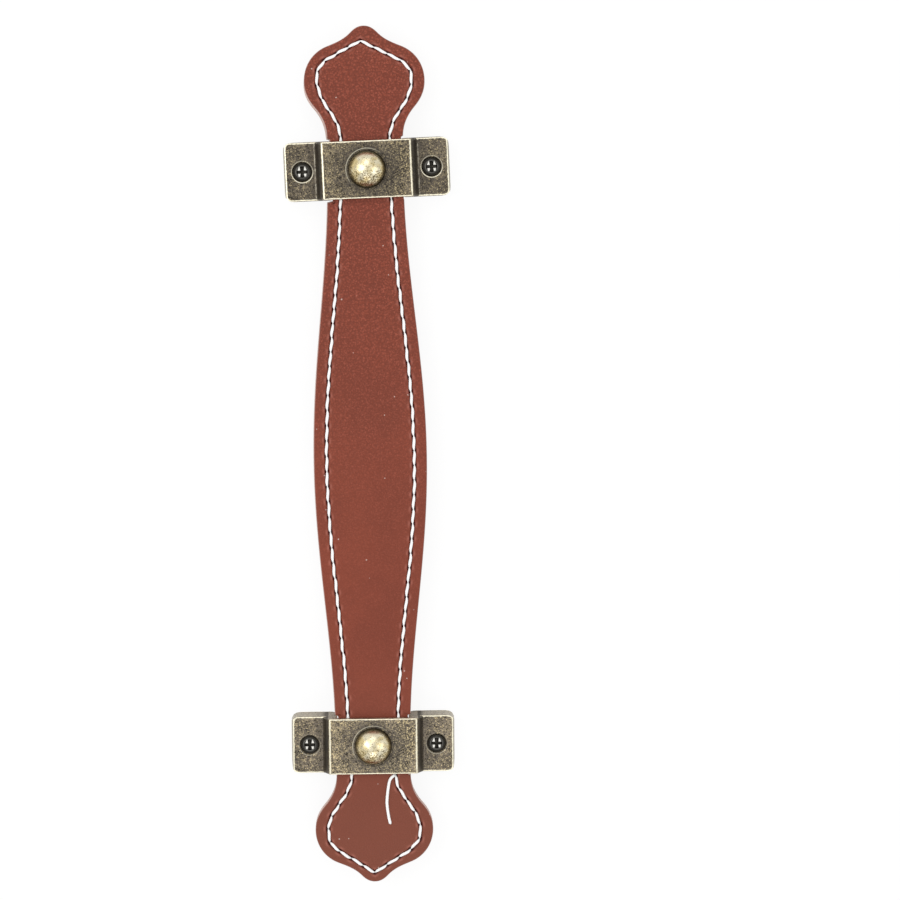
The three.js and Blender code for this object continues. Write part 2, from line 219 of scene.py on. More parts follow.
def srgb(red, green, blue):
    """A colour named by its 0 to 255 screen values, as the linear RGBA that shaders use."""
    parts = [value / 255 for value in (red, green, blue)]
    linear = [p / 12.92 if p <= 0.04045 else ((p + 0.055) / 1.055) ** 2.4 for p in parts]
    return (*linear, 1.0)


def toned(colour, gain, lift=0.0):
    """A colour made darker or lighter, at most white."""
    return tuple(min(1.0, gain * part + lift) for part in colour[:3]) + (1.0,)


# %% [markdown]
# ## Leather
#
# The hide is a warm red-brown with a fine pebbled grain and a soft oiled gloss. The
# grain is a smooth Voronoi pattern of half-millimetre cells under finer noise, which
# also carries a little colour, because dye lies darker between the pebbles. It stands out
# more towards the top of the strap, and the lower head is greyer, a painted sheen. The cut
# edge is paler than the face. The needle holes and the groove of the seam get a painted
# shade, and the swollen leather beside the holes a painted highlight: these three are
# painted by attributes that the strap's mesh carries.

# %% Mix the leather
def leather_finish(name, face_colour, lower_sheen_colour, edge_colour, grain):
    """Face colour under all that varies it; lower_sheen_colour is the lower head's painted sheen, grain the
    relief's strength.
    """
    leather = Finish(name, Specular_IOR_Level=0.30)
    mix, ease, times, plus = leather.mix, leather.ease, leather.times, leather.plus
    minus, scaled = leather.minus, leather.scaled
    place = leather.place()
    pebble = leather.pebbles(place, 1.7)
    fine = leather.noise(place, 2.6, 3.0, 0.6)
    cloud = leather.noise(place, 0.07, 3.0)
    speck = leather.noise(place, 2.1, 2.0, 0.6)
    deep, light = toned(face_colour, 0.66), toned(face_colour, 1.42, 0.018)
    along_strap = leather.node("SeparateXYZ", Vector=place).outputs["Y"]
    raised = scaled(ease(along_strap, -50.0, 70.0), 0.75, 0.25)
    dust = scaled(fine, 0.12, minus(leather.pebbles(place, 0.25, 0.0), 0.06))
    colour = face_colour
    for amount, tone in (
        (times(ease(cloud, 0.30, 0.75), 0.5), deep),
        (times(ease(fine, 0.47, 0.66), raised), light),
        (times(ease(pebble, 0.30, 0.58), times(raised, 0.8)), deep),
        (times(ease(speck, 0.62, 0.74), times(raised, 0.4)), light),
        # painted sheen: the lower head turns greyer
        (times(ease(along_strap, -50.0, -108.0), 0.8), lower_sheen_colour),
        # painted highlight on the swollen leather beside the needle holes
        (times(leather.attribute("swelling_highlight"), 0.4), srgb(196, 122, 106)),
        (times(ease(dust, 0.055, 0.035), 0.6), srgb(226, 206, 196)),
        (leather.attribute("cut_edge"), edge_colour),
        # painted shade in the needle holes and the groove of the seam
        (leather.attribute("hole_shade"), srgb(78, 24, 19)),
    ):
        colour = mix(amount, colour, tone)
    height = minus(times(fine, 0.5), pebble)
    leather.bump(height, grain, 0.13)
    rough = plus(times(fine, 0.22), 0.40)
    return leather.finish(colour, rough)


face_leather = leather_finish("oiled_leather", srgb(133, 61, 41), srgb(122, 66, 49), srgb(216, 190, 182), 0.65)
back_leather = leather_finish("back_leather", srgb(146, 70, 46), srgb(136, 70, 50), srgb(208, 176, 164), 0.40)

# %% [markdown]
# ## Thread
#
# Sewing thread is three yarns twisted together. A strand could be modelled yarn by
# yarn, but a stitch is under a millimetre wide, so the twist is a slanting wave on the
# thread's own UV map, where u runs round the thread and v along it in millimetres.

# %% Mix the threads
def thread_finish(name, light, shade, lay_mm):
    thread = Finish(name, Specular_IOR_Level=0.25, Sheen_Weight=0.25, Sheen_Roughness=0.5)
    uv = thread.node("SeparateXYZ", Vector=thread.node("TexCoord").outputs["UV"])
    around = thread.times(uv.outputs["X"], 3.0)
    along = thread.math("DIVIDE", uv.outputs["Y"], lay_mm)
    turn = thread.times(thread.plus(around, along), 2 * math.pi)
    ply = thread.plus(thread.times(thread.math("SINE", turn), 0.5), 0.5)
    fuzz = thread.noise(thread.place(), 6.0, 2.0, 0.7)
    # Painted shade in the grooves between the plies
    groove = thread.times(thread.ease(ply, 0.35, 0.0), 0.45)
    colour = thread.mix(groove, light, shade)
    colour = thread.mix(thread.times(thread.ease(fuzz, 0.45, 0.75), 0.3), colour, shade)
    thread.bump(thread.plus(ply, thread.times(fuzz, 0.4)), 0.25, 0.05)
    return thread.finish(colour, 0.78)


white_thread = thread_finish("white_thread", srgb(255, 255, 254), srgb(236, 231, 228), 1.3)
tan_thread = thread_finish("tan_thread", srgb(205, 128, 62), srgb(120, 62, 24), 1.1)

# %% [markdown]
# ## The strap's outline and its seam
#
# The leather is cut to one outline: a belly that swells as a cosine wave between the
# two posts, and at each end a head like an ogee with two lobes and a round nose. The
# seam follows it a few millimetres in and closes in a point under each nose.
#
# Both lines are worked out as matched pairs of points. The outline
# and the seam are then two lines of one grid, which lets the groove under the stitches
# be true geometry however the strap bends.

# %% Work out the outline and the seam
POST_Y = 80.0
NECK_END = 88.45
TIP = 118.9
BELLY_HALF = 15.6
NECK_HALF = 10.35
LOBE_HALF = 16.45
LOBE_DROP = 14.9  # tip to the widest part
SHOULDER = (13.6, 7.1)  # half width, and drop below the widest part
HOLLOW = (10.2, 5.55)  # half width, and drop below the tip
NOSE = (3.6, 1.75)
SEAM_INSET = 3.5
SEAM_CORNER = (1.9, 5.2)  # in from, and above, the seam's widest part
TOP_SEAM = {"apex": 4.1, "pinch": 0.2, "drift": -1.0}
LOW_SEAM = {"apex": 2.6, "pinch": 0.85, "drift": -0.05}
BOW = 0.3  # the soft strap lies to the right of its posts' line
CURVE_STEPS = 60


def bend(start, leaving, end, arriving):
    """Cubic Bezier between two points whose handles are 0.37 of the chord long."""
    start, end = np.array(start, float), np.array(end, float)
    reach = 0.37 * np.linalg.norm(end - start)
    first = start + reach * np.array(leaving) / np.linalg.norm(leaving)
    second = end - reach * np.array(arriving) / np.linalg.norm(arriving)
    t = np.linspace(0, 1, CURVE_STEPS)[:, None]
    return (1 - t) ** 3 * start + 3 * (1 - t) ** 2 * t * first + 3 * (1 - t) * t ** 2 * second + t ** 3 * end


def along(points):
    """Length run along a chain of points, from its first point."""
    return np.concatenate([[0], np.cumsum(np.linalg.norm(np.diff(points, axis=0), axis=1))])


def sampled(points, run, wanted):
    """Points of a chain at the wanted lengths, given the length run at each of its own."""
    return np.column_stack([np.interp(wanted, run, points[:, axis]) for axis in (0, 1)])


def spread(points, count):
    """The same chain with its points at even lengths."""
    run = along(points)
    return sampled(points, run, np.linspace(0, run[-1], count))


def ramp(value, width):
    """0 up to a value of zero, 1 from width on, and straight between."""
    return np.clip(value / width, 0, 1)


def half_head(apex, pinch, drift):
    """Outline and seam of one side of a head, matched, from the neck to the tip."""
    widest = TIP - LOBE_DROP
    shoulder = (SHOULDER[0], widest - SHOULDER[1])
    hollow, nose = (HOLLOW[0], TIP - HOLLOW[1]), (NOSE[0], TIP - NOSE[1])
    rise = np.vstack([
        bend((NECK_HALF, NECK_END), (0, 1), shoulder, (0.85, 1)),
        bend(shoulder, (0.85, 1), (LOBE_HALF, widest), (0, 1)),
    ])
    crown = np.vstack([
        bend((LOBE_HALF, widest), (0, 1), hollow, (-2.5, 1)),
        bend(hollow, (-2.5, 1), nose, (-1, 1.02)),
        bend(nose, (-1, 1.02), (0, TIP), (-1, 0)),
    ])
    seam_lobe = (LOBE_HALF - SEAM_INSET, widest)
    corner = (seam_lobe[0] - SEAM_CORNER[0], widest + SEAM_CORNER[1])
    point = (0, TIP - apex)
    seam_rise = bend((NECK_HALF - SEAM_INSET - pinch, NECK_END), (0, 1), seam_lobe, (0, 1))
    seam_crown = np.vstack([
        bend(seam_lobe, (0, 1), corner, (point[0] - corner[0], point[1] - corner[1])),
        np.linspace(corner, point, CURVE_STEPS),
    ])
    count = 4 * CURVE_STEPS
    edge = np.vstack([spread(rise, count), spread(crown, count)[1:]])
    seam = np.vstack([spread(seam_rise, count), spread(seam_crown, count)[1:]])
    return edge, seam


def swell(y):
    """A raised cosine: 1 halfway between the posts, 0 at and beyond them."""
    return (1 + np.cos(np.pi * np.clip(y / POST_Y, -1, 1))) / 2


def belly_half(y, inset):
    """Half width between the necks: the neck plus a cosine swell."""
    return NECK_HALF + (BELLY_HALF - NECK_HALF) * swell(y) - inset


def seam_half(y):
    """Half width of the seam between the heads, pinched in under each bracket."""
    pinch = np.where(y > 0, TOP_SEAM["pinch"], LOW_SEAM["pinch"])
    share = ramp(np.abs(y) - POST_Y, NECK_END - POST_Y)
    return belly_half(y, SEAM_INSET) - pinch * share


def right_side():
    """Outline and seam of the strap's right side, from the bottom tip to the top tip."""
    top_edge, top_seam = half_head(**TOP_SEAM)
    low_edge, low_seam = half_head(**LOW_SEAM)
    mirror = np.array([1, -1])
    y = np.linspace(-NECK_END, NECK_END, 8 * CURVE_STEPS)[1:-1]
    edge = np.vstack([low_edge[::-1] * mirror, np.column_stack([belly_half(y, 0), y]), top_edge])
    seam = np.vstack([low_seam[::-1] * mirror, np.column_stack([seam_half(y), y]), top_seam])
    return edge, seam


STITCH_PITCH = 3.9
PER_STITCH = 12  # stations of the grid to one stitch

right_edge, right_seam = right_side()
half_seam = along(right_seam)
stitch_count = 2 * int(round(half_seam[-1] / STITCH_PITCH))
half_count = stitch_count * PER_STITCH // 2
even = np.linspace(0, half_seam[-1], half_count + 1)
seam_right = sampled(right_seam, half_seam, even)
edge_right = sampled(right_edge, half_seam, even)
flip = np.array([-1, 1])
seam = np.vstack([seam_right, seam_right[-2:0:-1] * flip])
edge = np.vstack([edge_right, edge_right[-2:0:-1] * flip])
seam_run = np.arange(len(seam)) * half_seam[-1] / half_count
for ending, part in ((1, TOP_SEAM), (-1, LOW_SEAM)):
    seam[:, 0] += part["drift"] * ramp(ending * seam[:, 1] - 106, 9)
print(len(seam), "stations along", round(2 * half_seam[-1], 1), "mm of seam")

# %% [markdown]
# ## The rhythm of the stitches
#
# A machine feeds leather unevenly, so the stitches aren't all alike: in the photograph
# they are shorter round the heads than on the belly. Each station of the seam therefore gets a
# stitch number, summed up from the length of stitch wished for there. A needle hole lies
# wherever that number is whole. The number is stretched a little so that a hole falls on
# each point of the seam and on the place beside the lower bracket where the thread ends.

# %% Number the stitches
def wished_length(line):
    """Length of a stitch at each station: close on the heads, longest low on the left.

    The stitches under the upper bracket are longer and those under the lower one shorter,
    which shifts the holes of the belly to where the photograph shows them.
    """
    x, y = line[:, 0], line[:, 1]
    belly = ramp(78 - np.abs(y), 8)
    length = 3.86 + belly * np.where(x < 0, 0.05 + 0.33 * ramp(30 - y, 20), 0.22)
    under_bracket = np.abs(np.abs(y) - POST_Y) < 7
    return length * (1 + np.where(x < 0, 0.03, 0.12) * np.sign(y) * under_bracket)


summed = np.concatenate([[0], np.cumsum((half_seam[-1] / half_count) / wished_length(seam))])
whole_run = np.append(seam_run, 2 * half_seam[-1])
first_run = float(np.interp(-NECK_END, right_seam[:, 1], half_seam))
marks = np.interp([0, first_run, half_seam[-1], 2 * half_seam[-1]], whole_run, summed)
whole = np.concatenate([[0], np.cumsum(np.round(np.diff(marks)))])
numbers = np.interp(summed, marks, whole) - whole[1]
stitches = int(whole[-1])


def hole_run(number):
    """Length along the seam of a needle hole, counted from the first one."""
    return np.interp((number - numbers[0]) % stitches + numbers[0], numbers, whole_run)


print(stitches, "stitches")

# %% [markdown]
# ## From grids to meshes
#
# A new piece is a grid of points: rows one way, columns the other. Its faces are the
# quads between neighbours, and where the grid closes on itself the last column joins
# the first. Points that fall together, as at a pole, are merged.

# %% A helper that turns a grid into a piece
def quads(rows, columns, round_columns=False, round_rows=False):
    """Corner numbers of all quads of a grid, as one array."""
    row = np.arange(rows if round_rows else rows - 1)[:, None]
    column = np.arange(columns if round_columns else columns - 1)[None, :]
    next_row, next_column = (row + 1) % rows, (column + 1) % columns
    corners = [row * columns + column, row * columns + next_column,
               next_row * columns + next_column, next_row * columns + column]
    return np.stack(corners, axis=-1).reshape(-1, 4)


def make_piece(name, points, faces, material, replaces=(), paint=None, uv=None):
    """A piece from points in millimetres and quads, with its painted attributes."""
    mesh = bpy.data.meshes.new(name)
    mesh.from_pydata((points.reshape(-1, 3) * MM).tolist(), [], faces.tolist())
    for key, values in (paint or {}).items():
        mesh.attributes.new(key, "FLOAT", "POINT").data.foreach_set("value", values.ravel().astype(np.float32))
    if uv is not None:
        loops = np.zeros(len(mesh.loops), int)
        mesh.loops.foreach_get("vertex_index", loops)
        layer = mesh.uv_layers.new(name="lay")
        layer.data.foreach_set("uv", uv.reshape(-1, 2)[loops].ravel().astype(np.float32))
    net = bmesh.new()
    net.from_mesh(mesh)
    bmesh.ops.remove_doubles(net, verts=net.verts, dist=0.0005 * MM)
    net.to_mesh(mesh)
    net.free()
    mesh.polygons.foreach_set("use_smooth", np.ones(len(mesh.polygons), bool))
    mesh.materials.append(material)
    piece = put(name, mesh)
    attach(piece, "root")
    if replaces:
        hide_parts(*replaces)
    print(name, len(mesh.polygons), "faces")
    return piece


# %% [markdown]
# ## The two layers of leather
#
# Each layer is one closed skin: out over its glued side, round the cut edge, in over
# its face with the groove of the seam, to the middle of the strap. The middle line of
# the left half and of the right half are the same points, so the skin closes there,
# except round a post, where the two halves part along a circle and leave its hole.

# %% Shape the leather
BRACKETS = {
    "top": {"x": 0.4, "y": POST_Y, "turn": math.radians(1.9)},
    "bottom": {"x": 0.0, "y": -POST_Y, "turn": math.radians(-0.2)},
}
WAIST_HALF = 9.7  # strap's half width between a bracket's skirts
WAIST_RUN = 8.45  # half the length of that stretch
HOLE_RADIUS = 2.6
SEAM_MARGIN = 1.53  # from the seam out to the grid's coarse rows
SEAM_ROWS = (-1.25, -1.0, -0.8, -0.62, -0.46, -0.28, 0, 0.28, 0.46, 0.62, 0.8, 1.0, 1.25, 1.55)
EDGE_RADIUS = 0.42  # the rubbed corner between the cut wall and the face
RELIEF = {
    "groove_half": 0.50, "hole_half": 0.62, "punched_half": 0.72,
    "swelling_off": 0.98, "swelling_width": 0.30, "swelling_run": 0.75, "swelling_rise": 0.09,
}
FLARE = {"shoulder": 0.55, "shoulder_y": 95, "shoulder_run": 8, "side": 0.18, "side_end": 72}


def unit(vectors):
    return vectors / np.maximum(np.linalg.norm(vectors, axis=-1, keepdims=True), 1e-9)


def inward(line, blur):
    """Unit vectors to the left of a closed line, from tangents averaged over some stations."""
    tangent = sum(np.roll(line, -k, axis=0) - np.roll(line, k, axis=0) for k in range(1, blur + 1))
    tangent = unit(tangent)
    return np.column_stack([-tangent[:, 1], tangent[:, 0]])


def waisted(line):
    """The outline, held to the waist's half width between the skirts of each bracket."""
    held = line.copy()
    for place in BRACKETS.values():
        side = np.sign(line[:, 0])
        cos, sin = math.cos(place["turn"]), math.sin(place["turn"])
        local_x = (line[:, 0] - place["x"]) * cos + (line[:, 1] - place["y"]) * sin
        local_y = (line[:, 1] - place["y"]) * cos - (line[:, 0] - place["x"]) * sin
        inside = np.abs(local_y) < WAIST_RUN
        narrow = np.minimum(np.abs(local_x), WAIST_HALF) * side
        held[inside, 0] = (place["x"] + narrow * cos - local_y * sin)[inside]
        held[inside, 1] = (place["y"] + narrow * sin + local_y * cos)[inside]
    return held


def middle_line(line):
    """Where each station meets the middle: on the axis, or on the rim of a post's hole."""
    y = np.clip(line[:, 1], LOBE_DROP - TIP, TIP - LOBE_DROP)
    x = np.zeros(len(y))
    parted = np.zeros(len(y), bool)
    for place in BRACKETS.values():
        off = y - place["y"]
        chord = np.sqrt(np.maximum(HOLE_RADIUS ** 2 - off ** 2, 0))
        blend = np.clip(1.5 - np.abs(off) / (3 * HOLE_RADIUS), 0, 1)
        x += place["x"] * blend + np.sign(line[:, 0]) * chord
        parted |= chord > 0
    return np.column_stack([x, y]), parted


def seam_relief(off, depth, pinch):
    """Height beside the seam: a groove, deeper at each needle hole, with soft swellings, and the painted shade
    and painted highlight that go with them.

    The groove falls off as a bell curve of the distance off the seam, and the pinch as
    a bell curve of the distance along it to the nearest hole.
    """
    number = numbers[:-1]
    to_hole = np.abs(number - np.round(number)) * wished_length(seam)
    hole = np.exp(-(to_hole / RELIEF["hole_half"]) ** 2)
    groove = np.exp(-(off / RELIEF["groove_half"]) ** 4)
    # the swollen leather beside each hole, which also places its painted highlight
    swelling_highlight = np.exp(-((np.abs(off) - RELIEF["swelling_off"]) / RELIEF["swelling_width"]) ** 2)
    swelling_highlight = swelling_highlight * np.exp(-(to_hole / RELIEF["swelling_run"]) ** 2)
    height = RELIEF["swelling_rise"] * swelling_highlight - groove * (depth + pinch * hole)
    punched = np.exp(-(off / RELIEF["punched_half"]) ** 6) * np.exp(-(to_hole / RELIEF["hole_half"]) ** 4)
    # painted shade: dark along the groove and darkest in the needle holes
    dark = np.clip(groove * 0.40 + punched * 1.1, 0, 1)
    return height, dark, swelling_highlight


def knife_flare(line):
    """How far the cut wall spreads from the strap's face to its back, on the left side."""
    left = line[:, 0] < 0
    from_shoulder = (line[:, 1] - FLARE["shoulder_y"]) / FLARE["shoulder_run"]
    shoulder = FLARE["shoulder"] * np.exp(-(from_shoulder ** 4))
    side = FLARE["side"] * (np.abs(line[:, 1]) < FLARE["side_end"])
    return np.where(left, shoulder + side, 0)


def leather_layer(name, node, face, glue, depth, pinch, material):
    """One layer of the strap, from its glued side at height glue to its face."""
    out = math.copysign(1, face - glue)
    thick = abs(face - glue)
    outline = waisted(edge)
    edge_in, seam_in = inward(outline, 3), inward(seam, 8)
    flare = knife_flare(edge)[:, None]
    middle, parted = middle_line(seam)
    rows, heights, cut, holes, swellings = [], [], [], [], []

    def row(plan, height, cut_edge=0.0, dark=0.0, swelling_highlight=0.0):
        rows.append(plan)
        for store, value in ((heights, height), (cut, cut_edge), (holes, dark), (swellings, swelling_highlight)):
            store.append(value + np.zeros(len(seam)))

    def wall(inset, share):
        """The cut wall a share of the way from the glued side to the face."""
        below = 0.5 * (1 - out * share)
        return outline + edge_in * (inset - flare * below)

    row(middle, 0.0)
    row(wall(0.5, 0.0), 0.0)
    row(wall(0.14, 0.0), 0.02, 1.0)
    row(wall(0.02, 0.1), 0.16, 1.0)
    for share in (0.35, 0.6, 0.76):
        row(wall(-0.03, share), thick * share, 1.0)
    for angle in np.radians([15, 35, 55, 75, 90]):
        shift = EDGE_RADIUS * (1 - math.cos(angle))
        height = thick - EDGE_RADIUS * (1 - math.sin(angle))
        row(wall(shift, height / thick), height, max(0.0, 1 - angle / 0.8))
    rim = outline + edge_in * 0.75
    brink = seam - seam_in * SEAM_MARGIN
    for share in (0.0, 0.35, 0.7, 1.0):
        row(rim + (brink - rim) * share, thick)
    for off in SEAM_ROWS:
        relief, dark, swelling_highlight = seam_relief(off, depth, pinch)
        row(seam + seam_in * off, thick + relief, 0.0, dark, swelling_highlight)
    inner = seam + seam_in * SEAM_ROWS[-1]
    for share in (0.12, 0.28, 0.46, 0.64, 0.82, 1.0):
        row(inner + (middle - inner) * share, thick)

    plan, height = np.array(rows), np.array(heights)
    lie = 0.04 * np.sin(plan[..., 1] / 9.0 + 0.8) * np.sin(plan[..., 0] / 6.5 + 0.4)
    on_face = (height > 0.5 * thick) * np.clip(1 - np.abs(np.abs(plan[..., 1]) - POST_Y) / 12, 0, 1)
    height = height + np.where(height > 0.5 * thick, lie, 0) * (1 - on_face)
    plan[..., 0] += BOW * swell(plan[..., 1])
    points = np.dstack([plan, glue + out * height])
    faces = quads(*points.shape[:2], round_columns=True)
    last = (len(rows) - 1) * len(seam)
    station = np.arange(len(seam))
    onward = (station + 1) % len(seam)
    rim_of_hole = parted | parted[onward]
    bore = np.column_stack([last + station, last + onward, onward, station])[rim_of_hole]
    faces = np.vstack([faces, bore])
    if out < 0:
        faces = faces[:, ::-1]
    paint = {"cut_edge": np.array(cut), "hole_shade": np.array(holes), "swelling_highlight": np.array(swellings)}
    return make_piece(name, points, faces, material, (node,), paint)


front_low, front_high = node_box("front_leather")
back_low, back_high = node_box("back_leather")
leather_layer("strap_front", "front_leather", front_high[2], front_low[2], 0.30, 0.42, face_leather)
leather_layer("strap_back", "back_leather", back_low[2], back_high[2], 0.22, 0.36, back_leather)

# %% [markdown]
# ## Stitches
#
# A stitch rises from one hole, lies on the leather and dives into the next. All the
# stitches of one thread are a single tube: its middle line and its width are periodic
# functions of the length run along the seam. The thread's cut end is the same tube
# with a plain round section, led over the leather.

# %% Sew the two seams
AROUND = 8  # sides of the thread's section
STEPS = 8  # stations to one stitch
NECK_SHARE = 0.66  # how much a stitch narrows at its holes
TIGHT = {"start": -92, "run": 6, "dip": 0.12, "neck": 0.16}  # on the lower head


def seam_point(run):
    """Place on the seam after a length run from its start, wrapped round."""
    closed = np.vstack([seam, seam[:1]])
    found = sampled(closed, whole_run, run % whole_run[-1])
    found[:, 0] += BOW * swell(found[:, 1])
    return found


def thread_tube(centre, half_width, half_height):
    """A tube along a chain of points, closed at both ends, whose section is an upright ellipse."""
    inner = np.ones(len(centre))
    inner[[0, -1]] = 0
    half_width, half_height = half_width * inner, half_height * inner
    tangent = unit(np.gradient(centre, axis=0))
    sideways = unit(np.column_stack([tangent[:, 1], -tangent[:, 0], np.zeros(len(tangent))]))
    upward = np.cross(sideways, tangent)
    angle = np.linspace(0, 2 * np.pi, AROUND + 1)
    ring = (
        sideways[:, None] * (half_width[:, None] * np.cos(angle))[..., None]
        + upward[:, None] * (half_height[:, None] * np.sin(angle))[..., None]
    )
    run = along(centre)
    uv = np.dstack([np.broadcast_to(angle / (2 * np.pi), (len(run), AROUND + 1)),
                    np.broadcast_to(run[:, None], (len(run), AROUND + 1))])
    return centre[:, None] + ring, uv


def stitch_chain(face, out, count, lift, dip, sharpness, slant, width, height):
    """Middle line, half widths and half heights of all stitches of one thread.

    With t running from -1 to 1 over a stitch, its height falls from lift to -dip as
    the power sharpness of |t|, and its width narrows towards the holes. The stitches of
    the lower head are pulled tighter: they dive deeper and narrow more.
    """
    stations = np.arange(count * STEPS + 1)
    phase = (stations / STEPS) % 1
    t = 2 * phase - 1
    start = stations // STEPS
    from_hole = seam_point(hole_run(start + 1))
    to_hole = seam_point(hole_run(start + 2))
    plan = from_hole + (to_hole - from_hole) * phase[:, None]
    sideways = unit(to_hole - from_hole)[:, ::-1] * np.array([1, -1])
    plan += sideways * (slant * np.sin(np.pi * t))[:, None]
    wobble = 0.06 * np.sin(start * 2.4) + 0.04 * np.sin(start * 5.1)
    plan += sideways * (wobble * (1 - t ** 2))[:, None]
    tight = ramp(TIGHT["start"] - plan[:, 1], TIGHT["run"])
    z = face + out * (lift - (lift + dip + TIGHT["dip"] * tight) * np.abs(t) ** sharpness)
    neck = 1 - (NECK_SHARE + TIGHT["neck"] * tight) * np.abs(t) ** (3 + tight)
    return np.column_stack([plan, z]), width / 2 * neck, height / 2 * (0.35 + 0.65 * neck)


def smooth_path(points, count):
    """A Catmull-Rom curve through given points, as a chain of even steps."""
    points = np.array(points, float)
    padded = np.vstack([2 * points[0] - points[1], points, 2 * points[-1] - points[-2]])
    t = np.linspace(0, len(points) - 1 - 1e-6, count)
    i = t.astype(int)
    f = (t - i)[:, None]
    a, b, c, d = (padded[i + k] for k in range(4))
    return 0.5 * (2 * b + (c - a) * f + (2 * a - 5 * b + 4 * c - d) * f ** 2 + (3 * b - a - 3 * c + d) * f ** 3)


def sew(name, node, face, out, stitch, loose_end, material):
    """One thread: its stitches and its loose end, as one piece."""
    chain, half_width, half_height = stitch_chain(face, out, stitches - 1, **stitch)
    hole = np.append(seam_point(np.array([first_run]))[0], 0)
    lying = face + out * (stitch["height"] / 2 + 0.04)
    loose = smooth_path([(x, y, z + lying) for x, y, z in loose_end], 56) + hole
    tip = ramp(along(loose), 0.4) ** 0.5
    tubes = [
        thread_tube(chain, half_width, half_height),
        thread_tube(loose, LOOSE_SHARE * stitch["width"] / 2 * tip, stitch["height"] / 2 * tip),
    ]
    points, uv, faces, count = [], [], [], 0
    for rings, lay in tubes:
        skin = quads(*rings.shape[:2])[:, ::-1]
        points.append(rings.reshape(-1, 3))
        uv.append(lay.reshape(-1, 2))
        faces.append(skin + count)
        count += rings.shape[0] * rings.shape[1]
    faces = np.vstack(faces)
    return make_piece(name, np.vstack(points), faces, material, (node,), uv=np.vstack(uv))


LOOSE_SHARE = 1.02  # a thread that isn't pulled tight is a little wider
NEEDLE_STITCH = {"lift": 0.12, "dip": 0.26, "sharpness": 5, "slant": 0.09, "width": 0.80, "height": 0.50}
BOBBIN_STITCH = {"lift": 0.02, "dip": 0.55, "sharpness": 4, "slant": 0.06, "width": 0.60, "height": 0.42}
NEEDLE_END = [(-1.47, -14.1, 0), (-2.0, -11.6, 0), (-2.4, -8.0, 0.05), (-2.2, -5.2, 0.02), (-1.9, -3.1, 0.06),
              (-1.6, -1.7, 0.02), (-1.1, -0.8, 0.05), (-0.35, -0.15, 0), (0, 0, -0.75)]
BOBBIN_END = [(-0.9, 9.0, 0), (-1.3, 6.4, 0), (-1.9, 3.6, 0), (-1.7, 1.5, 0), (-1.0, 0.6, 0),
              (-0.3, 0.15, 0.1), (0, 0, 0.7)]

sew("needle_seam", "needle_thread", front_high[2], 1, NEEDLE_STITCH, NEEDLE_END, white_thread)
sew("bobbin_seam", "bobbin_thread", back_low[2], -1, BOBBIN_STITCH, BOBBIN_END, tan_thread)

# %% [markdown]
# ## Antique brass
#
# The castings were blackened and then rubbed, so the metal is dark with a golden
# speckle, and bright where a cloth reaches: on every outer edge. A bevel shader could find
# the edges, but plain distances do it without depending on the renderer. One is the
# distance to the rounded outline in plan, one the distance to the top or the rim. A point of
# the surface has one of them at zero, so the larger one is its distance to the edge.

# %% Mix the brass
PLATE_TOP = node_box("bottom_bracket")[1][2]
BRACKET = {
    "half_length": 22.9, "half_depth": 8.15, "height": PLATE_TOP, "plate_half": 12.2, "step": 1.8,
    "flange_top": PLATE_TOP - 3.5, "lean": 0.3, "end_lean": 0.5, "plate_corner": 0.3, "flange_corner": 1.6,
    "rim_line": 1.05, "screw_x": 17.75, "screw_ring": 2.95, "dome_radius": 5.2, "recess_radius": 5.7,
    "recess_depth": 0.30,
}


